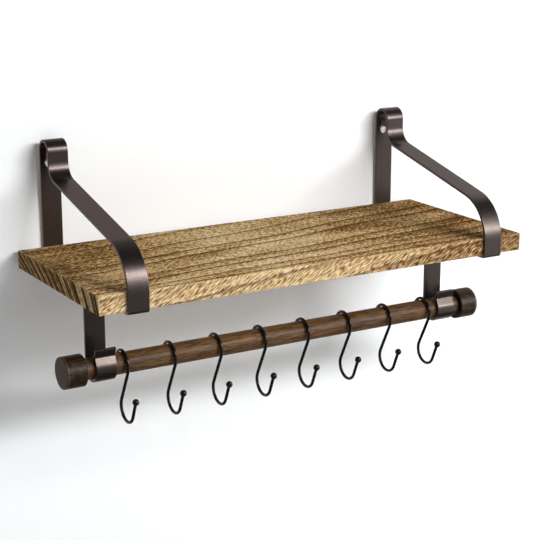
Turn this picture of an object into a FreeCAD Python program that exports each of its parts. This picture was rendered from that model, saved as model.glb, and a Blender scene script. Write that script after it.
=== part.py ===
# Wall shelf with a hanging rail: a wooden plank held in two bent strip brackets, and below it
# a wooden rail in two clip hangers, with a row of S-hooks.
# Millimetres. X runs along the shelf, -Y points into the room and +Z up.
# The origin is midway between the two wall screws, on the face of the wall.
import FreeCAD
import Part
import math
import os

# Plank
plank_length = 420.0
plank_depth = 171.5
plank_thickness = 16.0
plank_edge_round = 0.8

# Steel strip that the brackets and the hangers are bent from; bend radii are of the inner face
strip_width = 18.7
strip_thickness = 2.5
corner_relief = 0.2

# Brackets: heights are above the top of the plank, to the middle of the strip
bracket_inset = 24.15
bracket_rise = 95.3
loop_bend_radius = 7.9
brace_top_height = 65.6
brace_bend_radius = 15.0
brace_front_height = 27.9
front_bend_radius = 38.0
plank_front_gap = 0.3

# Keyhole in the back run of each bracket, and the wall screw that it hangs on by its bare neck
screw_below_loop = 14.0
keyhole_drop = 6.3
keyhole_gap = 0.6
slot_gap = 0.75
hang_gap = 0.3
wall_neck_radius = 1.75
wall_shank_radius = 2.0
wall_head_radius = 4.4
wall_head_height = 2.8
wall_head_rim = 0.9
wall_screw_length = 38.0
wall_point_length = 5.0

# Rail and its turned end knobs, which stop short of the hangers by the play that the rail slides
rail_radius = 9.4
rail_play = 8.05
rail_below_plank = 84.4
rail_from_wall = 98.5
rail_end_round = 0.6
knob_radius = 14.0
knob_length = 19.0
knob_edge_round = 1.0

# Double-ended screw that joins each knob to the rail
dowel_radius = 2.5
dowel_length = 28.0
dowel_point_length = 3.0
dowel_hole_spare = 1.0
pilot_gap = 0.05

# Rail hangers: a tab under the bracket, a drop, and a clip round the rail with a flared lip
clip_slack = 0.8
rail_seat_gap = 0.3
tab_length = 36.0
tab_bend_radius = 2.0
clip_wrap_angle = 25.0
throat_length = 6.5
lip_length = 7.5
lip_flare_angle = 19.0
lip_bend_radius = 1.5

# Screws that hold each hanger and bracket to the plank
tab_screw_count = 2
tab_screw_from_end = 8.0
tab_neck_radius = 1.5
tab_shank_radius = 1.75
tab_head_radius = 3.6
tab_head_height = 2.4
tab_head_rim = 0.8
tab_screw_length = 14.0
tab_point_length = 3.0
tab_hole_gap = 0.3
pilot_hole_spare = 1.0

# Cross recess in the screw heads, as shares of the head it is cut in
recess_span_share = 1.1
recess_width_share = 0.28
recess_depth_share = 0.55

# S-hooks of round wire with a ball at the front tip, evenly spread between the hangers
hook_count = 8
hook_from_hanger = 10.15
hook_wire_radius = 1.4
hook_slack = 1.3
hook_seat_gap = 0.3
hook_bend_radius = 10.7
hook_drop = 37.7
hook_reach = 7.8
hook_tip_lean = 23.0
hook_tip_length = 17.0
hook_ball_radius = 3.0
hook_end_round = 0.5

# Places that follow from the sizes
plank_top_z = screw_below_loop - bracket_rise
plank_under_z = plank_top_z - plank_thickness
plank_rear_y = -strip_thickness
plank_front_y = plank_rear_y - plank_depth
bracket_x = plank_length / 2 - bracket_inset - strip_width / 2
keyhole_radius = wall_head_radius + keyhole_gap
slot_radius = wall_neck_radius + slot_gap
rail_length = 2 * (bracket_x + strip_width / 2 + rail_play)
rail_y = -rail_from_wall
rail_z = plank_top_z - rail_below_plank
half_strip = strip_thickness / 2
drop_y = rail_y + rail_radius + clip_slack + half_strip
tab_end_y = drop_y + half_strip + tab_length
tab_screw_pitch = (tab_length - 2 * tab_screw_from_end) / (tab_screw_count - 1)
tab_screw_ys = [tab_end_y - tab_screw_from_end - i * tab_screw_pitch for i in range(tab_screw_count)]
first_hook_x = hook_from_hanger + strip_width / 2 - bracket_x
hook_pitch = -2 * first_hook_x / (hook_count - 1)
hook_xs = [first_hook_x + i * hook_pitch for i in range(hook_count)]

ALONG_X = FreeCAD.Vector(1, 0, 0)
ALONG_Y = FreeCAD.Vector(0, 1, 0)
ALONG_Z = FreeCAD.Vector(0, 0, 1)
SIDES = {"left": -1, "right": 1}
SAME_POINT = 1e-6


def at(y, z, x=0.0):
    """A point, by default in the plane across the shelf."""
    return FreeCAD.Vector(x, y, z)


def joined(stretches):
    """Lines and arcs through groups of points: a group of three is an arc, and lines join the groups."""
    edges = []
    here = None
    for points in stretches:
        if here is not None and here.distanceToPoint(points[0]) > SAME_POINT:
            edges.append(Part.LineSegment(here, points[0]).toShape())
        if len(points) == 3:
            edges.append(Part.Arc(*points).toShape())
        here = points[-1]
    return edges


def bend(before, corner, after, radius):
    """The tangent arc round a corner: its centre, the way it turns, and spokes to start, middle and end."""
    into = (corner - before).normalize()
    out = (after - corner).normalize()
    turn = 1 if into.cross(out).x > 0 else -1
    first = ALONG_X.cross(into) * -turn
    last = ALONG_X.cross(out) * -turn
    start = corner - into * (radius * math.tan(into.getAngle(out) / 2))
    centre = start - first * radius
    return centre, turn, (first, (first + last).normalize(), last)


def strip_face(corners, offset, closed):
    """One face of a bent strip, seen edge on: its line at a distance to the left of the middle line."""
    stretches = []
    last = len(corners) - 1
    for i, (corner, radius) in enumerate(corners):
        before = corners[i - 1][0]
        after = corners[(i + 1) % len(corners)][0]
        if closed or 0 < i < last:
            centre, turn, spokes = bend(before, corner, after, radius)
            stretches.append([centre + spoke * (radius - turn * offset) for spoke in spokes])
        else:
            run = after - corner if i == 0 else corner - before
            stretches.append([corner + ALONG_X.cross(run.normalize()) * offset])
    if closed:
        stretches.append(stretches[0][:1])
    return joined(stretches)


def bent_strip(corners, closed):
    """A strip about x = 0, bent in the plane across the shelf along corners, each with its radius."""
    left = strip_face(corners, half_strip, closed)
    right = strip_face(corners, -half_strip, closed)
    if closed:
        outline = Part.makeFace([Part.Wire(left), Part.Wire(right)], "Part::FaceMakerBullseye")
    else:
        start = Part.LineSegment(left[0].firstVertex().Point, right[0].firstVertex().Point).toShape()
        end = Part.LineSegment(left[-1].lastVertex().Point, right[-1].lastVertex().Point).toShape()
        outline = Part.Face(Part.Wire(Part.sortEdges(left + right + [start, end])[0]))
    outline.translate(ALONG_X * (-strip_width / 2))
    return outline.extrude(ALONG_X * strip_width)


def turned(stretches, start, axis):
    """A solid of revolution: groups of (radius, height) points, turned about an axis from a point."""
    groups = [[at(r, h) for r, h in points] for points in stretches]
    outline = Part.Face(Part.Wire(joined(groups + [groups[0][:1]])))
    solid = outline.revolve(FreeCAD.Vector(), ALONG_Z, 360)
    solid.Placement = FreeCAD.Placement(start, FreeCAD.Rotation(ALONG_Z, axis))
    return solid


def rod(radius, start, axis, length):
    """A plain round rod from a point along an axis."""
    return Part.makeCylinder(radius, length, start, axis)


def rims(solid):
    """The round edges at the ends of a rod."""
    return [edge for edge in solid.Edges if edge.Closed]


def moved(shape, x):
    """A copy of a shape, moved along the shelf."""
    copy = shape.copy()
    copy.translate(ALONG_X * x)
    return copy


def tab_screw_holes(radius, low_z, height):
    """Upright holes for one hanger's screws, about x = 0."""
    return [rod(radius, at(y, low_z), ALONG_Z, height) for y in tab_screw_ys]


def plank():
    """The board, with eased edges and pilot holes for the hanger screws."""
    corner = at(plank_front_y, plank_under_z, -plank_length / 2)
    board = Part.makeBox(plank_length, plank_depth, plank_thickness, corner)
    board = board.makeFillet(plank_edge_round, board.Edges)
    depth = tab_screw_length - 2 * strip_thickness + pilot_hole_spare
    holes = tab_screw_holes(tab_shank_radius + pilot_gap, plank_under_z, depth)
    return board.cut([moved(hole, side * bracket_x) for side in SIDES.values() for hole in holes])


def keyhole():
    """The cutter for a keyhole: a round mouth below, and a narrow slot up to the screw."""
    slot_top_z = wall_neck_radius + hang_gap - slot_radius
    front_y = -2 * strip_thickness
    through = 3 * strip_thickness
    mouth = rod(keyhole_radius, at(front_y, -keyhole_drop), ALONG_Y, through)
    slot_end = rod(slot_radius, at(front_y, slot_top_z), ALONG_Y, through)
    corner = at(front_y, -keyhole_drop, -slot_radius)
    slot = Part.makeBox(2 * slot_radius, through, slot_top_z + keyhole_drop, corner)
    return mouth.fuse([slot_end, slot])


def bracket():
    """One bracket: a closed ring up the wall, over the loop, down the brace and under the plank."""
    back_y = -half_strip
    leg_y = back_y - 2 * loop_bend_radius - strip_thickness
    front_y = plank_front_y - plank_front_gap - half_strip
    under_z = plank_under_z - half_strip
    loop_z = plank_top_z + bracket_rise
    corner_bend = plank_edge_round - corner_relief + half_strip
    loop_bend = loop_bend_radius + half_strip
    ring = [
        (at(back_y, under_z), corner_bend),
        (at(back_y, loop_z), loop_bend),
        (at(leg_y, loop_z), loop_bend),
        (at(leg_y, plank_top_z + brace_top_height), brace_bend_radius + half_strip),
        (at(front_y, plank_top_z + brace_front_height), front_bend_radius + half_strip),
        (at(front_y, under_z), corner_bend),
    ]
    strip = bent_strip(ring, closed=True)
    hole_radius = tab_shank_radius + tab_hole_gap
    holes = tab_screw_holes(hole_radius, under_z - strip_thickness, 2 * strip_thickness)
    return strip.cut([keyhole()] + holes)


def hanger():
    """One rail hanger: a tab under the bracket, a drop, and a clip that the rail snaps into."""
    tab_z = plank_under_z - strip_thickness - half_strip
    clip_bend = rail_radius + clip_slack + half_strip
    clip_z = rail_z + clip_slack - rail_seat_gap
    clip_front_y = rail_y - clip_bend
    wrap = math.radians(clip_wrap_angle)
    flare = math.radians(lip_flare_angle)
    wrap_rise = clip_bend * math.tan(wrap / 2)
    wrap_corner = at(clip_front_y, clip_z + wrap_rise)
    throat = wrap_corner + at(math.sin(wrap), math.cos(wrap)) * (wrap_rise + throat_length)
    run = [
        (at(tab_end_y, tab_z), None),
        (at(drop_y, tab_z), tab_bend_radius + half_strip),
        (at(drop_y, clip_z - clip_bend), clip_bend),
        (at(clip_front_y, clip_z - clip_bend), clip_bend),
        (wrap_corner, clip_bend),
        (throat, lip_bend_radius + half_strip),
        (throat + at(-math.sin(flare), math.cos(flare)) * lip_length, None),
    ]
    strip = bent_strip(run, closed=False)
    hole_radius = tab_shank_radius + tab_hole_gap
    return strip.cut(tab_screw_holes(hole_radius, tab_z - strip_thickness, 2 * strip_thickness))


def recess(head_radius, head_height, seat, axis):
    """The cutter for a cross recess in the top of a screw head."""
    span = head_radius * recess_span_share
    width = head_radius * recess_width_share
    depth = head_height * recess_depth_share
    arms = []
    for wide, deep in ((span, width), (width, span)):
        arm = Part.makeBox(wide, deep, 2 * depth, FreeCAD.Vector(-wide / 2, -deep / 2, -depth))
        arm.Placement = FreeCAD.Placement(seat - axis * head_height, FreeCAD.Rotation(ALONG_Z, axis))
        arms.append(arm)
    return arms[0].fuse(arms[1])


def screw(head_radius, head_height, head_rim, neck_radius, neck_length,
          shank_radius, length, point_length, seat, axis):
    """A round-headed wood screw: the flat of its head on the seat, its neck and shank along the axis."""
    rise = head_height - head_rim
    dome_radius = (head_radius ** 2 + rise ** 2) / (2 * rise)
    half_dome = math.asin(head_radius / dome_radius) / 2
    dome_middle_h = dome_radius * (1 - math.cos(half_dome)) - head_height
    profile = [
        [(0, -head_height), (dome_radius * math.sin(half_dome), dome_middle_h), (head_radius, -head_rim)],
        [(head_radius, 0)],
        [(neck_radius, 0)],
        [(neck_radius, neck_length)],
        [(shank_radius, neck_length)],
        [(shank_radius, length - point_length)],
        [(0, length)],
    ]
    return turned(profile, seat, axis).cut(recess(head_radius, head_height, seat, axis))


def wall_screw():
    """The screw that a keyhole hangs on: its head and neck at the strip and its shank in the wall."""
    return screw(wall_head_radius, wall_head_height, wall_head_rim, wall_neck_radius, strip_thickness,
                 wall_shank_radius, wall_screw_length, wall_point_length, at(-strip_thickness, 0), ALONG_Y)


def tab_screws():
    """The screws up through one hanger's tab and the bracket into the plank."""
    grip = 2 * strip_thickness
    return Part.makeCompound([
        screw(tab_head_radius, tab_head_height, tab_head_rim, tab_neck_radius, grip,
              tab_shank_radius, tab_screw_length, tab_point_length, at(y, plank_under_z - grip), ALONG_Z)
        for y in tab_screw_ys])


def dowel_hole(seat, axis):
    """The cutter for the pilot hole of one end of a knob's screw."""
    return rod(dowel_radius + pilot_gap, seat, axis, dowel_length / 2 + dowel_hole_spare)


def rail():
    """The round rail, with a pilot hole in each end."""
    bar = rod(rail_radius, at(rail_y, rail_z, -rail_length / 2), ALONG_X, rail_length)
    bar = bar.makeFillet(rail_end_round, rims(bar))
    ends = {side: at(rail_y, rail_z, side * rail_length / 2) for side in SIDES.values()}
    return bar.cut([dowel_hole(end, ALONG_X * -side) for side, end in ends.items()])


def knob(side):
    """A turned knob on one end of the rail."""
    seat = at(rail_y, rail_z, side * rail_length / 2)
    body = rod(knob_radius, seat, ALONG_X * side, knob_length)
    body = body.makeFillet(knob_edge_round, rims(body))
    return body.cut(dowel_hole(seat, ALONG_X * side))


def knob_screw(side):
    """The double-ended screw, half in the rail and half in the knob."""
    half = dowel_length / 2
    body = half - dowel_point_length
    profile = [[(0, -half)], [(dowel_radius, -body)], [(dowel_radius, body)], [(0, half)]]
    return turned(profile, at(rail_y, rail_z, side * rail_length / 2), ALONG_X)


def hook():
    """One S-hook about x = 0: over the rail, down its front, and forward again to the ball."""
    loop_bend = rail_radius + hook_slack + hook_wire_radius
    lower_bend = hook_bend_radius + hook_wire_radius
    loop = at(rail_y, rail_z - hook_slack + hook_seat_gap)
    lower = loop + at(-hook_reach, -hook_drop)
    # The shank is the tangent that crosses between the two bends
    between = loop.distanceToPoint(lower)
    slant = math.asin((loop_bend + lower_bend) / between) - math.atan2(hook_reach, hook_drop)
    lean = math.radians(hook_tip_lean)
    to_shank = at(-math.cos(slant), -math.sin(slant))
    to_tip = at(-math.cos(lean), -math.sin(lean))
    forward = at(-1, 0)
    rear_end = loop - forward * loop_bend
    front = loop + forward * loop_bend
    ball_centre = lower + to_tip * lower_bend + at(-math.sin(lean), math.cos(lean)) * hook_tip_length
    path = joined([
        [rear_end, loop + ALONG_Z * loop_bend, front],
        [front, loop + (forward + to_shank).normalize() * loop_bend, loop + to_shank * loop_bend],
        [lower - to_shank * lower_bend, lower - ALONG_Z * lower_bend, lower + to_tip * lower_bend],
        [ball_centre],
    ])
    section = Part.Wire(Part.Circle(rear_end, ALONG_Z, hook_wire_radius).toShape())
    wire = Part.Wire(path).makePipeShell([section], True, False)
    rear_rim = min(rims(wire), key=lambda edge: edge.CenterOfMass.distanceToPoint(rear_end))
    wire = wire.makeFillet(hook_end_round, [rear_rim])
    return wire.fuse(Part.makeSphere(hook_ball_radius, ball_centre))


def make_nodes():
    """Every piece of the shelf by its name."""
    nodes = {"shelf_plank": plank(), "hanging_rail": rail()}
    for name, side in SIDES.items():
        x = side * bracket_x
        nodes["bracket_" + name] = moved(bracket(), x)
        nodes["rail_hanger_" + name] = moved(hanger(), x)
        nodes["wall_screw_" + name] = moved(wall_screw(), x)
        nodes["hanger_screws_" + name] = moved(tab_screws(), x)
        nodes["rail_knob_" + name] = knob(side)
        nodes["knob_screw_" + name] = knob_screw(side)
    for i, x in enumerate(hook_xs, start=1):
        nodes["s_hook_%d" % i] = moved(hook(), x)
    return nodes


os.makedirs("parts", exist_ok=True)
for node, shape in make_nodes().items():
    state = "valid" if shape.isValid() else "not valid"
    print(node, state, len(shape.Solids), "solids", round(shape.Volume / 1000, 3), "cm3")
    shape.exportStep("parts/%s.step" % node)
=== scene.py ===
# %% [markdown]
# # A wall shelf with a hanging rail
# A plank rests in two brackets, each bent from one strip of steel. Below it hangs a round wooden
# rail in two spring clips, with S-hooks on it. The solids come from CAD as a fixed frame. They could
# be shown as they are, but their edges are knife-sharp, so each piece is remade here with eased
# edges and gets its finish. Lengths are in metres: X runs along the shelf, -Y into the room and Z
# up, and the origin lies on the wall, midway between the two wall screws.

# %% Load the frame
import math

import bmesh
import bpy
from mathutils import Matrix, Quaternion, Vector


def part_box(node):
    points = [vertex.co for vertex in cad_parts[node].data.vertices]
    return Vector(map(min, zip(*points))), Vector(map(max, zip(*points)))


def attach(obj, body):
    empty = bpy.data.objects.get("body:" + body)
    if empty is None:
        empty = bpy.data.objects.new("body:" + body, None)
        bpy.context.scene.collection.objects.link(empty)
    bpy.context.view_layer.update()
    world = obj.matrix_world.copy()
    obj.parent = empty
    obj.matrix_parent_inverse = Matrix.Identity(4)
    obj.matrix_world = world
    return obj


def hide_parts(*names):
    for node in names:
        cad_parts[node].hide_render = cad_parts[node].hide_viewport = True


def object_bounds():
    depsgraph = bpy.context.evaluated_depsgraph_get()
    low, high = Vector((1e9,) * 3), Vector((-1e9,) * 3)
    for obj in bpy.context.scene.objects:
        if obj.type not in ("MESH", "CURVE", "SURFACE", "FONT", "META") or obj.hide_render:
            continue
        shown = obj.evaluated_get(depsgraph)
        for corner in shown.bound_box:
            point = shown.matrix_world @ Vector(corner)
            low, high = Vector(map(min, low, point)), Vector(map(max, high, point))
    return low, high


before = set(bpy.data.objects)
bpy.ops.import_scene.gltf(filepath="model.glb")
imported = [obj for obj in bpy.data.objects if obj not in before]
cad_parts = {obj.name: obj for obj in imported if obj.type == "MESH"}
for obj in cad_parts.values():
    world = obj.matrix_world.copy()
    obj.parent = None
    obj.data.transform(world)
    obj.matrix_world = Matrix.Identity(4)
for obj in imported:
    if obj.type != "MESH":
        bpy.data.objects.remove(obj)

scene = bpy.context.scene
cad_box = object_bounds()
print("CAD box", [[round(number, 4) for number in corner] for corner in cad_box])

# %% [markdown]
# ## The camera
# The shelf is seen from the left, a little above it, through a long lens that keeps the long edges
# almost parallel. A camera could be aimed by hand until the picture looks right. Here its place and
# turn come from lines that are level or upright on the real shelf, so every edge lands where it should.

# %% Camera
camera_place = (-0.64584, -1.17786, 0.23058)
camera_turn = 30.453
camera_dip = 14.954
camera_lens = 97.307

camera = bpy.data.objects.new("camera", bpy.data.cameras.new("camera"))
camera.data.lens = camera_lens
camera.location = camera_place
camera.rotation_euler = (math.radians(90 - camera_dip), 0, math.radians(-camera_turn))
scene.collection.objects.link(camera)
scene.camera = camera
scene.view_settings.view_transform = "Standard"
print("camera with a lens of", camera.data.lens, "mm")

# %% [markdown]
# ## Writing finishes as sums
# A finish is a tree of nodes, and most of its nodes are plain sums. Placing them one by one hides the
# idea, so a small class wraps a socket: adding or multiplying two values adds the Math node for it.
# The reflected forms let a plain number come first, as in 1 - mask.

# %% Values
class Value:
    """A socket that varies over a surface. Sums on it add Math nodes."""

    def __init__(self, graph, socket):
        self.graph = graph
        self.socket = socket

    def sums(self, operation, *terms):
        return self.graph.node("ShaderNodeMath", {"operation": operation}, dict(enumerate(terms)))

    def out(self, name):
        """Another output of the same node."""
        return Value(self.graph, self.socket.node.outputs[name])

    def __add__(self, other):
        return self.sums("ADD", self, other)

    def __radd__(self, other):
        return self.sums("ADD", other, self)

    def __sub__(self, other):
        return self.sums("SUBTRACT", self, other)

    def __rsub__(self, other):
        return self.sums("SUBTRACT", other, self)

    def __mul__(self, other):
        return self.sums("MULTIPLY", self, other)

    def __rmul__(self, other):
        return self.sums("MULTIPLY", other, self)

    def __abs__(self):
        return self.sums("ABSOLUTE", self)

    def top(self, other):
        return self.sums("MAXIMUM", self, other)

    def sine(self):
        return self.sums("SINE", self)


print("values can be added, subtracted and multiplied")

# %% [markdown]
# ## Trees of nodes
# Every other node comes from one method, which takes the node's type, its settings and its sockets.
# The nodes that the finishes use most get a short name each: where a point lies, noise in stretched
# cells, a soft step between two values, a ramp or a mix of colours, and a bump. The Mix node keeps
# its colour sockets behind those for numbers and vectors, so these are called by their numbers.

# %% Node trees
mix_first, mix_second, mix_result = 6, 7, 2


class Graph:
    """A tree of shader nodes."""

    def __init__(self, owner):
        owner.use_nodes = True
        self.tree = owner.node_tree
        self.tree.nodes.clear()

    def node(self, kind, settings, sockets, output=0):
        made = self.tree.nodes.new(kind)
        for name, setting in settings.items():
            if name == "stops":
                self.set_stops(made.color_ramp, setting)
            else:
                setattr(made, name, setting)
        for name, value in sockets.items():
            if isinstance(value, Value):
                self.tree.links.new(value.socket, made.inputs[name])
            else:
                made.inputs[name].default_value = value
        return Value(self, made.outputs[output]) if len(made.outputs) else None

    def set_stops(self, ramp, stops):
        while len(ramp.elements) < len(stops):
            ramp.elements.new(1)
        for element, (position, colour) in zip(ramp.elements, stops):
            element.position = position
            element.color = colour

    def place(self):
        return self.node("ShaderNodeTexCoord", {}, {}, "Object")

    def parts(self, vector):
        split = self.node("ShaderNodeSeparateXYZ", {}, {0: vector})
        return split, split.out("Y"), split.out("Z")

    def join(self, x, y, z):
        return self.node("ShaderNodeCombineXYZ", {}, {0: x, 1: y, 2: z})

    def distance(self, y, z):
        """How far a point lies from an axis along X."""
        sockets = {0: self.join(0, y, z)}
        return self.node("ShaderNodeVectorMath", {"operation": "LENGTH"}, sockets, "Value")

    def noise(self, vector, size, detail=2, roughness=0.5, turn=0):
        """Noise in cells of a size along X, Y and Z, turned by degrees about Z."""
        rotation = (0, 0, math.radians(turn))
        sockets = {"Vector": vector, "Rotation": rotation, "Scale": size}
        laid = self.node("ShaderNodeMapping", {"vector_type": "TEXTURE"}, sockets)
        sockets = {"Vector": laid, "Scale": 1, "Detail": detail, "Roughness": roughness}
        return self.node("ShaderNodeTexNoise", {}, sockets)

    def fade(self, value, low, high):
        """Rises softly from 0 to 1 between two values, or falls where the first is the higher."""
        sockets = {"Value": value, "From Min": low, "From Max": high}
        return self.node("ShaderNodeMapRange", {"interpolation_type": "SMOOTHSTEP"}, sockets)

    def ramp(self, value, stops):
        return self.node("ShaderNodeValToRGB", {"stops": stops}, {0: value})

    def mix(self, amount, first, second):
        sockets = {0: amount, mix_first: first, mix_second: second}
        return self.node("ShaderNodeMix", {"data_type": "RGBA"}, sockets, mix_result)

    def bump(self, height, strength, distance):
        sockets = {"Height": height, "Strength": strength, "Distance": distance}
        return self.node("ShaderNodeBump", {}, sockets)


print("node trees are ready to be written as sums")

# %% [markdown]
# ## The room
# The shelf hangs on a white wall over a pale floor. A wall that was solid to every ray would hide the
# shelf from behind and throw light back at it. This one is seen only by the camera, from the front: it
# catches the shelf's soft shadow and is clear to everything else. The floor is clear from below, so
# that the underside of the shelf can be looked at. Neither of them shows in mirrors.

# %% Wall and floor
floor_drop = 0.56
room_size = 8
wall_gap = 0.0004
wall_white = (0.965, 0.985, 1, 1)
floor_white = (0.8, 0.8, 0.79, 1)


def panel(name, matrix):
    """A large flat square of the stage, with an empty material."""
    mesh = bmesh.new()
    bmesh.ops.create_grid(mesh, x_segments=1, y_segments=1, size=room_size / 2, matrix=matrix)
    data = bpy.data.meshes.new(name)
    mesh.to_mesh(data)
    mesh.free()
    made = bpy.data.objects.new(name, data)
    scene.collection.objects.link(made)
    data.materials.append(bpy.data.materials.new(name))
    made.visible_glossy = False
    return Graph(data.materials[0])


def paint(graph, colour, amount):
    """Paints a panel by an amount and leaves it clear otherwise."""
    painted = graph.node("ShaderNodeBsdfDiffuse", {}, {"Color": colour})
    clear = graph.node("ShaderNodeBsdfTransparent", {}, {})
    shown = graph.node("ShaderNodeMixShader", {}, {0: amount, 1: clear, 2: painted})
    graph.node("ShaderNodeOutputMaterial", {}, {"Surface": shown})


upright = Matrix.Rotation(math.radians(90), 4, "X")
wall = panel("wall", Matrix.Translation((0, wall_gap, room_size / 2 - floor_drop)) @ upright)
seen = wall.node("ShaderNodeLightPath", {}, {}, "Is Camera Ray")
from_behind = wall.node("ShaderNodeNewGeometry", {}, {}, "Backfacing")
paint(wall, wall_white, seen * (1 - from_behind))

floor = panel("floor", Matrix.Translation((0, 0, -floor_drop)))
from_below = floor.node("ShaderNodeNewGeometry", {}, {}, "Backfacing")
paint(floor, floor_white, 1 - from_below)
print("wall and floor of", room_size, "m, the floor", floor_drop, "m below the screws")

# %% [markdown]
# ## The lamps
# Shadows tell where a lamp stands. The plank's shadow on the wall leans to the left and reaches down
# about three quarters of the plank's depth, so the key lamp stands up to the right. One lamp could do
# everything, but the highlights on the bent strips lie where a lamp turned more steeply would put
# them. So the key lamp is seen by matt surfaces only, and a strip lamp near it only in mirrors. A
# weak lamp from the left lifts the side edges.

# %% Lamps
middle = (Vector(cad_box[0]) + Vector(cad_box[1])) / 2


def softbox(name, direction, roll, distance, size, radiance):
    """A flat lamp that faces the shelf from a direction: degrees to the right of the front, and up."""
    azimuth, elevation = (math.radians(angle) for angle in direction)
    level = math.cos(elevation)
    toward = Vector((math.sin(azimuth) * level, -math.cos(azimuth) * level, math.sin(elevation)))
    lamp = bpy.data.lights.new(name, "AREA")
    lamp.shape = "RECTANGLE"
    lamp.size, lamp.size_y = size
    lamp.energy = radiance * math.pi * lamp.size * lamp.size_y
    made = bpy.data.objects.new(name, lamp)
    made.location = middle + distance * toward
    facing = toward.to_track_quat("Z", "Y") @ Quaternion((0, 0, 1), math.radians(roll))
    made.rotation_euler = facing.to_euler()
    scene.collection.objects.link(made)
    print(name, "of", round(lamp.energy, 1), "W")
    return made


key_lamp = softbox("key_lamp", direction=(33, 28), roll=-30, distance=2.4, size=(1.8, 0.45),
                   radiance=25.4)
key_lamp.visible_glossy = False
strip_lamp = softbox("strip_lamp", direction=(30, 22), roll=-55, distance=2.4, size=(1.4, 0.4),
                     radiance=23)
strip_lamp.visible_diffuse = False
softbox("left_lamp", direction=(-75, 25), roll=0, distance=2.0, size=(0.8, 0.8), radiance=0.4)

# %% [markdown]
# ## The world
# The world lights the rest evenly. One plain colour would do for the wood, but bent metal shows what
# is around it. So in mirrors the world is brighter to the right, as towards a window, and towards the
# wall, and darker overhead and underfoot. The camera sees it white.

# %% World
world_light = (0.21, 0.21, 0.215, 1)
world_white = (1, 1, 1, 1)
mirrored_room = (0.17, 0.16, 0.15, 1)
mirrored_window = (0.97, 0.96, 0.95, 1)
mirrored_wall = (0.6, 0.51, 0.49, 1)
mirrored_ceiling = (0.04, 0.038, 0.036, 1)
window_edge = (0.42, 0.6)
wall_edge = (0.4, 0.7)
ceiling_edge = (0.52, 0.68)
ceiling_back = (0, 0.35)

world = bpy.data.worlds.new("studio")
scene.world = world
sky = Graph(world)
to_right, to_wall, to_ceiling = sky.parts(sky.place())
glow = sky.mix(sky.fade(to_right, *window_edge), mirrored_room, mirrored_window)
glow = sky.mix(sky.fade(to_wall, *wall_edge), glow, mirrored_wall)
overhead = sky.fade(abs(to_ceiling), *ceiling_edge) * (1 - sky.fade(to_wall, *ceiling_back))
glow = sky.mix(overhead, glow, mirrored_ceiling)
mirrored = sky.node("ShaderNodeBackground", {}, {"Color": glow})
light = sky.node("ShaderNodeBackground", {}, {"Color": world_light})
white = sky.node("ShaderNodeBackground", {}, {"Color": world_white})
by_camera = sky.node("ShaderNodeLightPath", {}, {}, "Is Camera Ray")
by_mirrors = by_camera.out("Is Glossy Ray")
shown = sky.node("ShaderNodeMixShader", {}, {0: by_mirrors, 1: light, 2: mirrored})
shown = sky.node("ShaderNodeMixShader", {}, {0: by_camera, 1: shown, 2: white})
sky.node("ShaderNodeOutputWorld", {}, {"Surface": shown})
print("world with", len(sky.tree.nodes), "nodes")

# %% [markdown]
# ## Making pieces
# Each piece starts as a bmesh, built in place, and ends as an object that rides on a body of the frame
# instead of a CAD node. Its faces are smooth, with edges kept sharp where they turn hard, and its
# normals are weighted by area, so that flat runs stay flat beside their rounded edges.

# %% From a mesh to a piece
hard_turn = math.radians(48)
same_place = 1e-6
pieces = {}


def close(mesh):
    """Merges doubles, fills open ends and turns the faces outwards."""
    bmesh.ops.remove_doubles(mesh, verts=mesh.verts, dist=same_place)
    bmesh.ops.holes_fill(mesh, edges=[edge for edge in mesh.edges if edge.is_boundary])
    bmesh.ops.recalc_face_normals(mesh, faces=mesh.faces)


def piece(mesh, node, body, slot):
    """Makes a mesh the piece that stands for a CAD node."""
    data = bpy.data.meshes.new(node)
    mesh.to_mesh(data)
    mesh.free()
    data.shade_smooth()
    data.set_sharp_from_angle(angle=hard_turn)
    made = bpy.data.objects.new(node + "_fine", data)
    scene.collection.objects.link(made)
    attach(made, body)
    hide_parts(node)
    weighted = made.modifiers.new("flat_runs", "WEIGHTED_NORMAL")
    weighted.keep_sharp = True
    pieces.setdefault(slot, []).append(made)
    print(made.name, len(data.polygons), "faces on", body)


print("edges stay sharp from", round(math.degrees(hard_turn)), "degrees")

# %% [markdown]
# ## Cutting holes
# Keyholes and screw holes are punched into the strip, and a cross is pressed into each screw's head.
# Faces could be built round each hole by hand. A Boolean takes any tool out of any shape, and what it
# leaves is cleared of edges without length, which would show as slivers in the mesh.

# %% Cut
def cut(mesh, cutters):
    """Takes the cutters out of a mesh and gives back what is left."""
    tools = []
    for number, shape in enumerate([mesh] + cutters):
        data = bpy.data.meshes.new("cut")
        shape.to_mesh(data)
        shape.free()
        tools.append(bpy.data.objects.new("cut", data))
        scene.collection.objects.link(tools[-1])
        if number:
            change = tools[0].modifiers.new("cut", "BOOLEAN")
            change.object = tools[-1]
    left = bmesh.new()
    left.from_object(tools[0], bpy.context.evaluated_depsgraph_get())
    bmesh.ops.dissolve_degenerate(left, dist=same_place, edges=left.edges)
    bmesh.ops.recalc_face_normals(left, faces=left.faces)
    for tool in tools:
        bpy.data.meshes.remove(tool.data)
    return left


print("points closer than", same_place, "m count as one")

# %% [markdown]
# ## A bending machine
# The brackets, the clips and the hooks are all bent from straight stock. Their outlines could be
# drawn and given a thickness, but a workshop feeds the stock forward and turns it round a former, and
# the mesh can do the same: feeding is an extrusion of the open end, and a bend is a spin of it.

# %% Feed and bend
bend_step = 4


def edges_in(geometry):
    return [part for part in geometry if isinstance(part, bmesh.types.BMEdge)]


def heading_vector(heading):
    angle = math.radians(heading)
    return Vector((0, math.cos(angle), math.sin(angle)))


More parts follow.
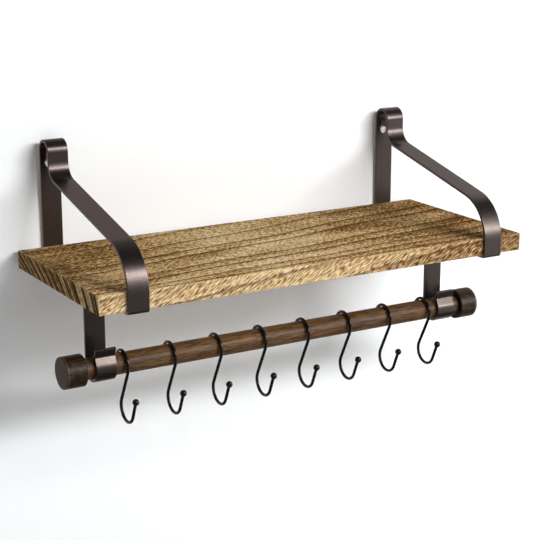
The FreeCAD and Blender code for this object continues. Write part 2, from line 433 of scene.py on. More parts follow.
class Bender:
    """Stock that is fed and bent in the plane across the shelf. Headings turn from +Y towards +Z."""

    def __init__(self, section, place, heading):
        self.mesh = section
        self.place = Vector(place)
        self.heading = heading
        self.end = section.edges[:]
        turn = Matrix.Rotation(math.radians(heading - 90), 4, "X")
        bmesh.ops.transform(section, matrix=Matrix.Translation(place) @ turn, verts=section.verts)

    def end_verts(self):
        return list({vert for edge in self.end for vert in edge.verts})

    def feed(self, length, size=1):
        """Feeds the open end forward, and may make it wider or narrower."""
        grown = bmesh.ops.extrude_edge_only(self.mesh, edges=self.end)["geom"]
        self.end = [edge for edge in edges_in(grown) if edge.is_boundary]
        step = heading_vector(self.heading) * length
        self.place = self.place + step
        verts = self.end_verts()
        bmesh.ops.translate(self.mesh, vec=step, verts=verts)
        about = Matrix.Translation(-self.place)
        bmesh.ops.scale(self.mesh, vec=(size, size, size), space=about, verts=verts)

    def bend(self, radius, degrees):
        """Turns the open end round a former at its side."""
        side = self.heading + math.copysign(90, degrees)
        centre = self.place + radius * heading_vector(side)
        steps = math.ceil(abs(degrees) / bend_step)
        made = bmesh.ops.spin(self.mesh, geom=self.end + self.end_verts(), cent=centre, axis=(1, 0, 0),
                              angle=math.radians(degrees), steps=steps)
        self.end = edges_in(made["geom_last"])
        self.heading += degrees
        self.place = centre - radius * heading_vector(side + degrees)


print("one bend step turns", bend_step, "degrees")

# %% [markdown]
# ## Strip stock
# Brackets and rail hangers are bent from the same flat steel strip, whose long edges are eased, as on
# rolled stock. A bevel along each finished edge would do it too, but would have to find its way round
# every bend. Here the section is a rectangle with its corners bevelled, and the machine carries it on.

# %% Strip section
plank_low, plank_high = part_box("shelf_plank")
strip_low, strip_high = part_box("bracket_left")
strip_width = strip_high.x - strip_low.x
strip_thickness = strip_high.y - plank_high.y
half_strip = strip_thickness / 2
arris = 0.00045


def strip_section():
    mesh = bmesh.new()
    sides = ((-1, -1), (1, -1), (1, 1), (-1, 1))
    corners = [mesh.verts.new((a * strip_width / 2, b * half_strip, 0)) for a, b in sides]
    mesh.faces.new(corners)
    bmesh.ops.bevel(mesh, geom=corners, offset=arris, affect="VERTICES", segments=3, profile=0.5,
                    material=-1)
    bmesh.ops.delete(mesh, geom=mesh.faces[:], context="FACES_ONLY")
    return mesh


print("strip", round(strip_width * 1000, 1), "by", round(strip_thickness * 1000, 1), "mm")

# %% [markdown]
# ## Punched holes
# The back of each bracket has a keyhole: a wide mouth that goes over the head of the wall screw, and a
# narrow slot above it that the screw slides into. Under the plank two screws go through hanger and
# bracket. The punches are cylinders, and the slot's lower half is drawn down into the mouth.

# %% Punches
hole_sides = 64
keyhole_radius = 0.005
slot_radius = 0.0025
keyhole_drop = 0.0063
slot_top = -0.00045
keyhole_depth = 4 * strip_thickness
tab_hole_radius = 0.00205
tab_hole_depth = 6 * strip_thickness


def punch(place, radius, depth, turn):
    """A cylinder, upright or turned by degrees about X."""
    mesh = bmesh.new()
    matrix = Matrix.Translation(place) @ Matrix.Rotation(math.radians(turn), 4, "X")
    bmesh.ops.create_cone(mesh, cap_ends=True, segments=hole_sides, radius1=radius, radius2=radius,
                          depth=depth, matrix=matrix)
    return mesh


def keyhole(middle_x):
    mouth = punch((middle_x, 0, -keyhole_drop), keyhole_radius, keyhole_depth, turn=90)
    slot = punch((middle_x, 0, slot_top), slot_radius, keyhole_depth, turn=90)
    lower = [vert for vert in slot.verts if vert.co.z < slot_top]
    bmesh.ops.translate(slot, vec=(0, 0, -keyhole_drop), verts=lower)
    return [mouth, slot]


def screw_holes(side):
    low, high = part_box("hanger_screws_" + side)
    middle_x = (low.x + high.x) / 2
    head = (high.x - low.x) / 2
    places = (low.y + head, high.y - head)
    return [punch((middle_x, y, plank_low.z), tab_hole_radius, tab_hole_depth, turn=0) for y in places]


print("keyhole", 2 * keyhole_radius, "m wide, slot", 2 * slot_radius, "m")

# %% [markdown]
# ## The brackets
# One strip goes up the wall, over a round loop, down to the brace, round the front of the plank and
# back under it, where its two ends meet. The runs could be separate plates that meet at bent pieces,
# but the real strip is one length, so the machine feeds and bends it all the way round. The radii are
# those of the strip's middle line: the inside of the bend and half the strip.

# %% Brackets
loop_radius = 0.0079 + half_strip
reverse_radius = 0.015 + half_strip
front_radius = 0.038 + half_strip
corner_radius = 0.0006 + half_strip
brace_rise = 0.0656
brace_front_rise = 0.0279


def bracket(side):
    low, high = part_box("bracket_" + side)
    middle_x = (low.x + high.x) / 2
    wall_y, front_y = high.y - half_strip, low.y + half_strip
    top_z, under_z = high.z - half_strip, low.z + half_strip
    leg_y = wall_y - 2 * loop_radius
    brace_z, front_z = plank_high.z + brace_rise, plank_high.z + brace_front_rise
    slope = math.atan2(brace_z - front_z, leg_y - front_y)
    turn = 90 - math.degrees(slope)
    half_turn = math.tan(math.radians(turn / 2))
    brace = math.hypot(brace_z - front_z, leg_y - front_y)
    strip = Bender(strip_section(), (middle_x, wall_y, under_z + corner_radius), 90)
    strip.feed(top_z - loop_radius - under_z - corner_radius)
    strip.bend(loop_radius, 180)
    strip.feed(top_z - loop_radius - brace_z - reverse_radius * half_turn)
    strip.bend(reverse_radius, -turn)
    strip.feed(brace - (reverse_radius + front_radius) * half_turn)
    strip.bend(front_radius, turn)
    strip.feed(front_z - front_radius * half_turn - under_z - corner_radius)
    strip.bend(corner_radius, 90)
    strip.feed(wall_y - front_y - 2 * corner_radius)
    strip.bend(corner_radius, 90)
    close(strip.mesh)
    ring = cut(strip.mesh, keyhole(middle_x) + screw_holes(side))
    piece(ring, "bracket_" + side, "frame", "bracket_finish")


for side in ("left", "right"):
    bracket(side)

# %% [markdown]
# ## The rail hangers
# A shorter length of the same strip is screwed under the plank, drops, and curls round the rail into a
# spring clip. The clip leans in over the rail, so that it has to be pressed home, and ends in a lip
# that flares out to guide it. It is bent on the same machine, and its cut ends are eased with a bevel.

# %% Hangers
rail_low, rail_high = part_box("hanging_rail")
tab_bend = 0.002 + half_strip
clip_slack = 0.0008
clip_radius = (rail_high.z - rail_low.z) / 2 + clip_slack + half_strip
clip_wrap = 25
throat_length = 0.0065
lip_length = 0.0075
lip_flare = 19
lip_bend = 0.0015 + half_strip
end_ease = 0.0003


def ease_ends(mesh):
    """Rounds the rim of every flat end of bent stock."""
    rims = [edge for edge in mesh.edges if edge.calc_face_angle(0) > hard_turn]
    bmesh.ops.bevel(mesh, geom=rims, offset=end_ease, affect="EDGES", segments=2, profile=0.5,
                    material=-1)


def hanger(side):
    low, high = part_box("rail_hanger_" + side)
    middle_x = (low.x + high.x) / 2
    tab_z, clip_z = high.z - half_strip, low.z + half_strip + clip_radius
    drop_y = (rail_low.y + rail_high.y) / 2 + clip_radius
    flare = clip_wrap + lip_flare
    bent_off = lip_bend * math.tan(math.radians(flare / 2))
    strip = Bender(strip_section(), (middle_x, high.y, tab_z), 180)
    strip.feed(high.y - drop_y - tab_bend)
    strip.bend(tab_bend, 90)
    strip.feed(tab_z - tab_bend - clip_z)
    strip.bend(clip_radius, -180 - clip_wrap)
    strip.feed(throat_length - bent_off)
    strip.bend(lip_bend, flare)
    strip.feed(lip_length - bent_off)
    close(strip.mesh)
    ease_ends(strip.mesh)
    clip = cut(strip.mesh, screw_holes(side))
    piece(clip, "rail_hanger_" + side, "frame", "bracket_finish")


for side in ("left", "right"):
    hanger(side)

# %% [markdown]
# ## The plank
# A board with its edges lightly eased by hand. A cube of its size with every edge bevelled in three
# steps is enough: its looks come from the grain.

# %% Plank
plank_middle = (plank_low + plank_high) / 2
plank_ease = 0.0009

board = bmesh.new()
bmesh.ops.create_cube(board, size=1, matrix=Matrix.Translation(plank_middle)
                      @ Matrix.Diagonal((plank_high - plank_low).to_4d()))
bmesh.ops.bevel(board, geom=board.edges[:], offset=plank_ease, affect="EDGES", segments=3, profile=0.5,
                material=-1)
close(board)
piece(board, "shelf_plank", "frame", "plank_wood")

# %% [markdown]
# ## The rail and its knobs
# Both are turned on a lathe. A cylinder with a bevel would look much the same, but Blender has a lathe
# too, the spin, and the screws will need it again: half an outline, with its corners bevelled into
# small rounds, goes once round the axis.

# %% Rail and knobs
lathe_steps = 96
rail_ease = 0.0006
knob_ease = 0.001


def turned(outline, centre=(0, 0, 0), steps=lathe_steps):
    """Spins (along X, radius, corner round) points round an axis along X."""
    mesh = bmesh.new()
    start = Vector(centre)
    points = [mesh.verts.new(start + Vector((along, radius, 0))) for along, radius, ease in outline]
    for first, second in zip(points, points[1:]):
        mesh.edges.new((first, second))
    for point, (along, radius, ease) in zip(points, outline):
        if ease:
            bmesh.ops.bevel(mesh, geom=[point], offset=ease, affect="VERTICES", segments=4, profile=0.5,
                            material=-1)
    bmesh.ops.spin(mesh, geom=mesh.verts[:] + mesh.edges[:], cent=centre, axis=(1, 0, 0),
                   angle=2 * math.pi, steps=steps, use_merge=True)
    close(mesh)
    return mesh


def span_of(node):
    """Where a round piece along X starts and stops, and its radius."""
    low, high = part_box(node)
    return low.x, high.x, (high.z - low.z) / 2


def axis_of(node):
    """The middle of a round piece along X, seen from its end."""
    low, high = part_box(node)
    return 0, (low.y + high.y) / 2, (low.z + high.z) / 2


def rod(node, ease, slot):
    start, stop, radius = span_of(node)
    outline = [(start, 0, 0), (start, radius, ease), (stop, radius, ease), (stop, 0, 0)]
    piece(turned(outline, axis_of(node)), node, "rail", slot)


rod("hanging_rail", rail_ease, "rail_wood")
for side in ("left", "right"):
    rod("rail_knob_" + side, knob_ease, "knob_wood")

# %% [markdown]
# ## The hooks
# Each hook is round wire bent into an S: over the rail, down across to the back and up again at the
# front, where the end is upset into a small ball. A sphere could be set on the end. The same machine
# bends the wire from a circle, and the ball grows from its end by feeding wider and narrower rings.

# %% Hooks
hook_count = 8
wire_radius = 0.0014
wire_sides = 20
hook_radius = 0.0121
hook_drop = 0.0377
hook_reach = 0.0078
hook_lean = 23
hook_tip = 0.017
ball_radius = 0.003
ball_steps = 10
rail_axis_y, rail_axis_z = axis_of("hanging_rail")[1:]


def hook(number):
    node = "s_hook_" + str(number)
    low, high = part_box(node)
    section = bmesh.new()
    bmesh.ops.create_circle(section, cap_ends=False, segments=wire_sides, radius=wire_radius)
    loop_z = high.z - hook_radius - wire_radius
    wire = Bender(section, ((low.x + high.x) / 2, rail_axis_y + hook_radius, loop_z), 90)
    between = math.hypot(hook_drop, hook_reach)
    crossing = math.asin(2 * hook_radius / between) - math.atan2(hook_reach, hook_drop)
    crossing = math.degrees(crossing)
    wire.bend(hook_radius, 180 + crossing)
    wire.feed(math.sqrt(between ** 2 - 4 * hook_radius ** 2))
    wire.bend(hook_radius, -180 - crossing + hook_lean)
    neck = math.asin(wire_radius / ball_radius)
    wire.feed(hook_tip - ball_radius * math.cos(neck))
    angles = [neck + (math.pi - neck) * step / ball_steps for step in range(ball_steps)]
    for before, after in zip(angles, angles[1:]):
        wire.feed(ball_radius * (math.cos(before) - math.cos(after)), math.sin(after) / math.sin(before))
    close(wire.mesh)
    ease_ends(wire.mesh)
    piece(wire.mesh, node, "hook_" + str(number), "hook_finish")


for number in range(1, hook_count + 1):
    hook(number)

# %% [markdown]
# ## Screw threads
# A thread is a ridge that winds along the shank and runs out at the point. It could be a bump in the
# finish, but the mesh is used without its finish too. So a short outline is spun along the shank as it
# turns, both ends are cut off square, and the last few millimetres are drawn in to the point.

# %% Threads
thread_steps = 24
thread_root = 0.7
thread_pitch = 0.9
thread_outline = ((thread_root, 0), (thread_root, 0.5), (1, 0.72), (1, 0.8), (thread_root, 1))
blunt_tip = 0.06


def thread(crest, start, stop, point):
    """A wood screw's thread along Z, tapered at its stop, with its sizes as shares of the crest."""
    mesh = bmesh.new()
    pitch = crest * thread_pitch
    below = start - pitch
    points = [mesh.verts.new((crest * share, 0, below + rise * pitch)) for share, rise in thread_outline]
    for first, second in zip(points, points[1:]):
        mesh.edges.new((first, second))
    turns = math.ceil((stop - start) / pitch) + 1
    bmesh.ops.spin(mesh, geom=mesh.verts[:] + mesh.edges[:], cent=(0, 0, 0), axis=(0, 0, 1),
                   angle=2 * math.pi * turns, steps=thread_steps * turns,
                   dvec=(0, 0, pitch / thread_steps))
    bmesh.ops.remove_doubles(mesh, verts=mesh.verts, dist=same_place)
    for height, keep_above in ((start, True), (stop, False)):
        bmesh.ops.bisect_plane(mesh, geom=mesh.verts[:] + mesh.edges[:] + mesh.faces[:],
                               plane_co=(0, 0, height), plane_no=(0, 0, 1), clear_inner=keep_above,
                               clear_outer=not keep_above)
    for vert in mesh.verts:
        share = max(blunt_tip, min(1, (stop - vert.co.z) / point))
        vert.co.x *= share
        vert.co.y *= share
    close(mesh)
    return mesh


print("a thread turns in", thread_steps, "steps")

# %% [markdown]
# ## Screws
# Round-headed wood screws with a cross recess. The head and the bare neck are turned on the lathe, the
# recess is two tapered bars taken out of the head, and the thread is added to the neck.

# %% Screw heads
screw_steps = 48
screw_ease = 0.0002
dome_steps = 12
recess_reach = 0.8
recess_floor = 0.45
recess_width = 0.24


def add(mesh, other):
    """Adds another mesh to a mesh."""
    data = bpy.data.meshes.new("added")
    other.to_mesh(data)
    other.free()
    mesh.from_mesh(data)
    bpy.data.meshes.remove(data)


def recess_arm(head_radius, head_height, turn):
    """One bar of the cross, which narrows as it goes in."""
    arm = bmesh.new()
    bmesh.ops.create_cone(arm, cap_ends=True, segments=4, radius1=head_radius * recess_reach,
                          radius2=head_radius * recess_floor, depth=head_height,
                          matrix=Matrix.Rotation(math.radians(45), 4, "Z"))
    bmesh.ops.scale(arm, vec=(1, recess_width, 1), verts=arm.verts)
    bmesh.ops.rotate(arm, matrix=Matrix.Rotation(math.radians(turn), 3, "Z"), verts=arm.verts)
    bmesh.ops.translate(arm, vec=(0, 0, -head_height), verts=arm.verts)
    return arm


def screw(head_radius, head_height, head_rim, neck_radius, neck_end, crest, length, point):
    """A screw along Z, head down, with its seat at the origin."""
    crown = head_height - head_rim
    dome = (head_radius ** 2 + crown ** 2) / (2 * crown)
    span = math.asin(head_radius / dome)
    angles = [span * step / dome_steps for step in range(dome_steps + 1)]
    cap = [(dome - head_height - dome * math.cos(angle), dome * math.sin(angle), 0) for angle in angles]
    neck = [(0, head_radius, screw_ease), (0, neck_radius, 0), (neck_end, neck_radius, 0),
            (neck_end, 0, 0)]
    head = turned(cap + neck, steps=screw_steps)
    bmesh.ops.rotate(head, matrix=Matrix.Rotation(math.radians(-90), 3, "Y"), verts=head.verts)
    made = cut(head, [recess_arm(head_radius, head_height, turn) for turn in (0, 90)])
    add(made, thread(crest, neck_end, length, point))
    return made


print("a screw's head turns in", screw_steps, "steps")

# %% [markdown]
# ## Where the screws go
# One screw holds each bracket on the wall, and two hold each hanger and bracket under the plank. Each
# knob sits on a double-ended screw: two threads that start from a short collar, where rail and knob
# meet. Most of this is hidden, but the knobs and the rail would come apart without it.

# %% Fit the screws
into_wall = Matrix.Rotation(math.radians(-90), 4, "X")
grip = 2 * strip_thickness
hanger_head = 0.0036
collar = 0.0015
collar_share = 0.9
knob_screw_point = 0.003


def wall_screw(side):
    low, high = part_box("wall_screw_" + side)
    made = screw(head_radius=0.0044, head_height=0.0028, head_rim=0.0009, neck_radius=0.00175,
                 neck_end=strip_thickness, crest=0.002, length=0.038, point=0.005)
    seat = Vector(((low.x + high.x) / 2, -strip_thickness, (low.z + high.z) / 2))
    bmesh.ops.transform(made, matrix=Matrix.Translation(seat) @ into_wall, verts=made.verts)
    piece(made, "wall_screw_" + side, "frame", "wall_screw_steel")


def hanger_screws(side):
    low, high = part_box("hanger_screws_" + side)
    pair = bmesh.new()
    for y in (low.y + hanger_head, high.y - hanger_head):
        made = screw(head_radius=hanger_head, head_height=0.0024, head_rim=0.0008, neck_radius=0.0015,
                     neck_end=grip, crest=0.00175, length=0.014, point=0.003)
        seat = Vector(((low.x + high.x) / 2, y, plank_low.z - grip))
        bmesh.ops.translate(made, vec=seat, verts=made.verts)
        add(pair, made)
    piece(pair, "hanger_screws_" + side, "frame", "hanger_screw_steel")


def knob_screw(side):
    node = "knob_screw_" + side
    start, stop, crest = span_of(node)
    radius = collar_share * crest
    joined = turned([(-collar, 0, 0), (-collar, radius, screw_ease), (collar, radius, screw_ease),
                     (collar, 0, 0)], steps=screw_steps)
    for turn in (90, -90):
        made = thread(crest, collar, (stop - start) / 2, knob_screw_point)
        bmesh.ops.rotate(made, matrix=Matrix.Rotation(math.radians(turn), 3, "Y"), verts=made.verts)
        add(joined, made)
    seat = Vector(axis_of(node)) + Vector(((start + stop) / 2, 0, 0))
    bmesh.ops.translate(joined, vec=seat, verts=joined.verts)
    piece(joined, node, "rail", "knob_screw_steel")


for side in ("left", "right"):
    wall_screw(side)
    hanger_screws(side)
    knob_screw(side)

# %% [markdown]
# ## Finishes
# Every finish is one Principled shader. What is the same all over is set on the shader itself, and
# only what varies is linked to it. Colours could be typed as linear light, but they are easier to
# judge as they look on a screen, so a helper turns screen levels into light.

# %% Tints and finishes
def tint(red, green, blue):
    """A colour as it looks on screen, from 0 to 255, in Blender's linear light."""
    parts = [level / 255 for level in (red, green, blue)]
    return [part / 12.92 if part <= 0.04045 else ((part + 0.055) / 1.055) ** 2.4 for part in parts] + [1]


class Finish(Graph):
    """A material with one Principled shader, put on the pieces of a slot."""

    def __init__(self, name, constants):
        self.material = bpy.data.materials.new(name)
        super().__init__(self.material)
        self.shader = self.node("ShaderNodeBsdfPrincipled", {}, constants)
        self.node("ShaderNodeOutputMaterial", {}, {"Surface": self.shader})

    def vary(self, sockets):
        for name, value in sockets.items():
            self.tree.links.new(value.socket, self.shader.socket.node.inputs[name])

    def put_on(self, slot):
        for made in pieces[slot]:
            made.data.materials.append(self.material)
        print(self.material.name, "has", len(self.tree.nodes), "nodes")


print("mid grey on screen is", round(tint(128, 128, 128)[0], 3), "in linear light")

# %% [markdown]
# ## The plank's growth layers
# A board is a slice through the yearly layers of a tree, and every mark on its six faces comes from
# them. A picture of wood on each face would not meet at the edges. Here each point of the board is
# given its place among the layers: they lean forward as they go down, fan out over the ends, and drift
# back in a slow wave as they run to the right. Masks tell the ends and the long edges from the flats.

# %% Growth layers
layer_lean = 0.54
end_lean, end_fan = 0.99, 11
wave_rate, wave_start, wave_height = 35.9, 4.44, 0.0018
line_slant, line_fan = 0.06, 0.88
drift_cell, drift_height = (0.11, 0.07, 1), 0.006

wood = Finish("flecked_wood", {"Specular IOR Level": 0.012})
x, y, z = wood.parts(wood.place())
half_depth = plank_high.y - plank_middle.y
end = wood.fade(abs(x), plank_high.x - 0.0012, plank_high.x - 0.0003)
front = wood.fade(abs(y - plank_middle.y), half_depth - 0.0008, half_depth) * (1 - end)
behind = y - plank_low.y
below = plank_high.z - z
sheet = behind - below * (layer_lean - end * (end_lean + end_fan * behind))
ripple = (wave_rate * x + wave_start).sine()
wave = ripple * wood.fade(sheet, -0.006, 0.03)
drift = wood.noise(wood.join(x, sheet, 0), drift_cell) - 0.5
line = sheet - x * (line_slant + line_fan * sheet.top(0)) - wave_height * wave + drift_height * drift
print("growth layers take", len(wood.tree.nodes), "nodes")

# %% [markdown]
# ## The plank's strokes and lines
# Between the layers the open grain shows as short strokes, slanting on the flats and the other way on
# the long edges. Each layer ends in a thin dark line with a frayed edge, a broad stain behind it and a
# pale band before it. Evenly spaced lines would look like a pattern, so each has its own distance from
# the front edge and its own strength. On the ends the layers show as rings.

# %% Strokes, lines and rings
stroke_cell, stroke_turn = (0.006, 0.0013, 0.003), 29
fleck_cell, fleck_turn = (0.0062, 0.001, 1), -33
fray = 0.0008
growth_lines = ((-0.0200, 0.7), (-0.0093, 0.9), (0.0003, 0.8), (0.0107, 0.8), (0.0229, 0.7),
                (0.0421, 1.0), (0.0573, 0.75), (0.0903, 1.0), (0.1075, 0.9), (0.1366, 0.85),
                (0.1749, 0.8), (0.2030, 0.8))
ring_rate, ring_crowding, ring_start = 283, 565, 1.9

strokes = wood.noise(wood.join(x, sheet, below * end), stroke_cell, roughness=0.65, turn=stroke_turn)
flecks = wood.noise(wood.join(x, below, 0), fleck_cell, detail=1, turn=fleck_turn)
grain = wood.fade(strokes + front * (flecks - strokes), 0.29, 0.71)
frayed = line + fray * (grain - 0.5)
narrow = 1 + 1.2 * front
thin, broad, pale = 0, 0, 0
for position, strength in growth_lines:
    ahead = (position - frayed) * narrow
    edge = strength * wood.fade(ahead, -0.001, 0.0004)
    thin = (edge * (1 - wood.fade(ahead, 0.001, 0.0036))).top(thin)
    broad = (edge * (1 - wood.fade(ahead, 0.001, 0.012))).top(broad)
    pale = (wood.fade(ahead, -0.012, -0.001) * (1 - wood.fade(ahead, -0.001, 0))).top(pale)
years = sheet * (ring_rate + ring_crowding * sheet) + 5 * drift - ring_start
rings = 0.75 * years.sine() + 0.5 * (2.4 * years + 0.8).sine() + 1.2 * (grain - 0.5)
ring = end * wood.fade(rings, -0.35, 0.75)
print(len(growth_lines), "growth lines take the tree to", len(wood.tree.nodes), "nodes")

# %% [markdown]
# ## The plank's colour
# The wood was torched and oiled, so it is cloudy. Its colour is also painted darker at the right and at
# the back left corner: that is painted shade, as of soft shadows falling there. Its upper edges are
# paler, partly rubbed and partly a painted highlight where they catch the light. One ramp from burnt
# brown to straw could take it all, but the lines and rings would then turn pale in pale wood, so they
# are mixed in after the ramp.

# %% Plank colour
cloud_cell = (0.06, 0.02, 1)
fading_cell = (0.035, 0.02, 1)
patch_line = 0.08
line_brown = tint(94, 54, 17)
ring_brown = tint(52, 30, 8)
worn_and_highlight_straw = tint(226, 196, 146)
worn_and_highlit_edge = (0.002, 0.0006)
wood_stops = [(0.0, tint(72, 44, 18)), (0.3, tint(154, 114, 64)), (0.5, tint(203, 166, 108)),
              (0.7, tint(232, 203, 152)), (1.0, tint(248, 228, 184))]

cloud = wood.noise(wood.join(x, line, 5), cloud_cell, detail=3)
fading = wood.noise(wood.join(x, line, 9), fading_cell, detail=1)
# Painted shade: darker towards the right and towards the back left corner.
painted_shade_right = wood.fade(x, -0.04, 0.23)
painted_shade_left = wood.fade(-1 * x, 0.03, 0.17) * wood.fade(y, -0.2, -0.07)
patch = ripple * (1 - wood.fade(abs(line - patch_line), 0.004, 0.016))
# The painted shade joins the wood's own dark patches and pale bands here.
shade = 0.36 * painted_shade_right + 0.3 * painted_shade_left + 0.15 * patch - 0.06 * pale
depth = 0.58 + (0.88 - 0.12 * front) * (grain - 0.5) + (0.8 - 0.6 * front) * (cloud - 0.5) - shade
depth = depth + 0.12 * end - 0.06 * front
colour = wood.ramp(depth - 0.13 * broad * (1 - 0.5 * front) * (1 - end), wood_stops)
drawn = (1 - 0.3 * front - end) * thin * wood.fade(fading, 0.02, 0.42)
colour = wood.mix(drawn, colour, line_brown)
colour = wood.mix(0.95 * ring, colour, ring_brown)
sockets = {"Saturation": 1 - 0.09 * front, "Value": 1 - 0.1 * front, "Color": colour}
colour = wood.node("ShaderNodeHueSaturation", {}, sockets)
# Paler upper edges: partly rubbed wear, partly a painted highlight where the arris catches light.
worn_and_highlit_front = wood.fade(behind + below, *worn_and_highlit_edge)
worn_and_highlit_ends = wood.fade(plank_high.x - abs(x) + below, *worn_and_highlit_edge)
colour = wood.mix(0.45 * worn_and_highlit_front.top(worn_and_highlit_ends) * cloud, colour, worn_and_highlight_straw)
wood.vary({"Base Color": colour, "Roughness": 0.55 + 0.2 * grain,
           "Normal": wood.bump(grain - 0.15 * thin, strength=0.35, distance=0.0002)})
wood.put_on("plank_wood")

# %% [markdown]
# ## The rail's finish
# A darker wood, oiled to a satin shine, with its grain along the rail. Long thin cells of noise give
# the streaks, broader ones the patches, and short ones the open pores, which are darker and lower.

# %% Rail wood
rail_pore = tint(50, 33, 18)
rail_stops = [(0.3, tint(66, 46, 28)), (0.46, tint(89, 64, 40)), (0.58, tint(108, 79, 50)),
              (0.75, tint(140, 105, 68))]

oiled = Finish("oiled_rail_wood", {"Specular IOR Level": 0.22})
place = oiled.place()
streaks = oiled.noise(place, (0.05, 0.0022, 0.0022), detail=3, roughness=0.6)
patches = oiled.noise(place, (0.045, 0.011, 0.011))
pores = oiled.noise(place, (0.011, 0.0013, 0.0013), roughness=0.6)
colour = oiled.ramp(0.7 * streaks + 0.3 * patches, rail_stops)
colour = oiled.mix(0.75 * oiled.fade(pores, 0.42, 0.64), colour, rail_pore)
oiled.vary({"Base Color": colour, "Roughness": 0.34 + 0.2 * streaks,
            "Normal": oiled.bump(streaks - pores, strength=0.25, distance=0.0002)})
oiled.put_on("rail_wood")

# %% [markdown]
# ## The knobs' finish
# The knobs are stained almost black. Stain soaks deepest into end grain, so the outer round face is
# darker than the turned side. The inner face is painted darker still, and that is painted shade. The
# outer rim is paler, partly rubbed by hands and partly a painted highlight on its edge. The masks are
# sums on the distance along and from the rail's axis, which serve both knobs, because one mirrors the
# other.

# %% Knob wood
face_inset = (0.0008, 0.0002)
rim_width = (-0.004, -0.0012)
knob_pore = tint(22, 16, 11)
sawn_face = tint(20, 22, 12)
worn_and_highlit_rim = tint(128, 98, 66)
inner_shade_brown = tint(14, 10, 7)
knob_stops = [(0.3, tint(20, 13, 6)), (0.5, tint(39, 27, 15)), (0.7, tint(68, 50, 31))]

stained = Finish("stained_knob_wood", {"Specular IOR Level": 0.25})
place = stained.place()
along, y, z = stained.parts(place)
knob_start, knob_stop, knob_radius = span_of("rail_knob_right")
outward = stained.distance(y - rail_axis_y, z - rail_axis_z)
# Paler outer rim: partly rubbed wear, partly a painted highlight on the edge.
worn_and_highlit = stained.fade(outward + abs(along) - knob_radius - knob_stop, *rim_width)
# Painted shade: the inner round face of each knob is darkened.
inner_painted_shade = stained.fade(abs(along), *(knob_start + inset for inset in face_inset))
sawn = stained.fade(abs(along), *(knob_stop - inset for inset in face_inset))
mottle = stained.noise(place, (0.0045, 0.0018, 0.0018), roughness=0.6)
pores = stained.noise(place, (0.004, 0.001, 0.001), detail=1)
colour = stained.ramp(mottle, knob_stops)
colour = stained.mix(0.5 * stained.fade(pores, 0.56, 0.7), colour, knob_pore)
colour = stained.mix(0.7 * sawn, colour, sawn_face)
# Rim paler by wear and by a painted highlight.
colour = stained.mix(0.5 * worn_and_highlit * mottle, colour, worn_and_highlit_rim)
# Painted shade on the inner face.
colour = stained.mix(0.8 * inner_painted_shade, colour, inner_shade_brown)
stained.vary({"Base Color": colour, "Roughness": 0.34 + 0.16 * mottle,
              "Normal": stained.bump(mottle - pores, strength=0.2, distance=0.0002)})
stained.put_on("knob_wood")

# %% [markdown]
# ## The strip's coat
# The strip has a dark bronze coat with metal flake in it. A plain dark metal would be too smooth: the
# flake is fine noise in colour and bump, which gives the bends their sparkle. The strip's edges are a
# little paler, partly worn coat and partly a painted highlight on the arris. They are found by their
# distance from the middle of the strip.

# %% Bronze coat
bracket_middle = -(strip_low.x + strip_high.x) / 2
wear_and_highlight_inset = (0.0007, 0.0002)
flake_cell = (0.0008, 0.0008, 0.0008)
sheen_cell = (0.022, 0.022, 0.022)
bronze_dark = (0.062, 0.047, 0.042, 1)
bronze_flake = (0.088, 0.069, 0.063, 1)
bronze_worn_and_highlight = (0.28, 0.23, 0.21, 1)

coat = Finish("bronze_coat", {"Metallic": 0.9, "Coat Weight": 0.2, "Coat Roughness": 0.3})
place = coat.place()
across = abs(abs(coat.parts(place)[0]) - bracket_middle)
# Paler long edges: partly worn coat, partly a painted highlight on the arris.
worn_and_highlit = coat.fade(across, *(strip_width / 2 - inset for inset in wear_and_highlight_inset))
flake = coat.noise(place, flake_cell, detail=1)
sheen = coat.noise(place, sheen_cell)
colour = coat.mix(coat.fade(flake, 0.3, 0.7), bronze_dark, bronze_flake)
# Edges paler by wear and by a painted highlight.
colour = coat.mix(0.25 * worn_and_highlit, colour, bronze_worn_and_highlight)
coat.vary({"Base Color": colour, "Roughness": 0.27 + 0.06 * sheen,
           "Normal": coat.bump(flake, strength=0.16, distance=0.0001)})
coat.put_on("bracket_finish")

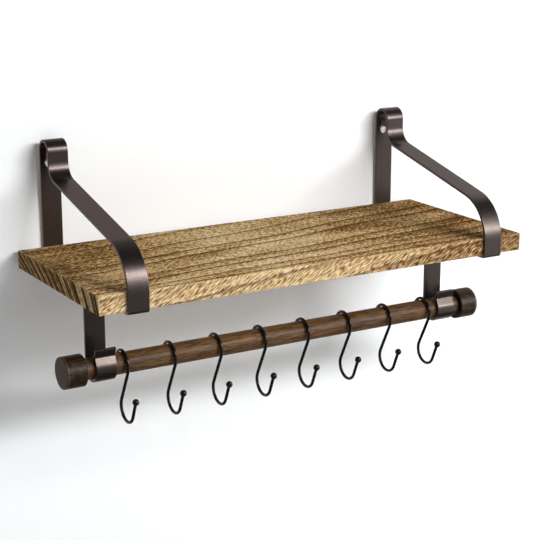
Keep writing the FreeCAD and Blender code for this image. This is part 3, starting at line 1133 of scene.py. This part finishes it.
# %% [markdown]
# ## The hooks' coat
# The wire has a near-black coat that shines like lacquer. Metal would give it a coloured mirror, so it
# is a dark surface with a warm gloss over it. The coat is rubbed where the loop rides on the rail: on
# the inside of the bend, close to the rail's axis.

# %% Hook coat
lacquer_cell = (0.0008, 0.0008, 0.0008)
rub_start = 0.0006
lacquer_dark = (0.003, 0.0025, 0.0023, 1)
lacquer_light = (0.009, 0.007, 0.0065, 1)
lacquer_rubbed = (0.12, 0.1, 0.09, 1)
warm_gloss = {"Specular IOR Level": 0.45, "Specular Tint": (1, 0.86, 0.82, 1)}

lacquer = Finish("black_wire_coat", warm_gloss)
place = lacquer.place()
y, z = lacquer.parts(place)[1:]
outward = lacquer.distance(y - rail_axis_y, z - rail_axis_z)
rubbed = lacquer.fade(outward, hook_radius - rub_start, hook_radius - wire_radius)
grain = lacquer.noise(place, lacquer_cell)
colour = lacquer.mix(grain, lacquer_dark, lacquer_light)
colour = lacquer.mix(0.6 * rubbed * grain, colour, lacquer_rubbed)
lacquer.vary({"Base Color": colour, "Roughness": 0.07 + 0.06 * grain,
              "Normal": lacquer.bump(grain, strength=0.05, distance=0.0001)})
lacquer.put_on("hook_finish")

# %% [markdown]
# ## The screws' steel
# The wall screws are plain steel gone grey, the screws under the plank are darkened, and the knobs'
# screws, which never see the air, are still bright with zinc. The same fine noise serves all three,
# between a dark and a light colour for each.

# %% Screw steel
steel_cell = (0.0011, 0.0011, 0.0011)
steels = {"wall_screw_steel": ((0.16, 0.155, 0.15, 1), (0.36, 0.35, 0.34, 1)),
          "hanger_screw_steel": ((0.03, 0.028, 0.027, 1), (0.09, 0.085, 0.08, 1)),
          "knob_screw_steel": ((0.42, 0.41, 0.39, 1), (0.62, 0.61, 0.59, 1))}

for slot, (dark, light) in steels.items():
    steel = Finish(slot, {"Metallic": 0.75})
    grain = steel.noise(steel.place(), steel_cell, detail=3)
    steel.vary({"Base Color": steel.mix(grain, dark, light), "Roughness": 0.28 + 0.2 * grain,
                "Normal": steel.bump(grain, strength=0.1, distance=0.0001)})
    steel.put_on(slot)
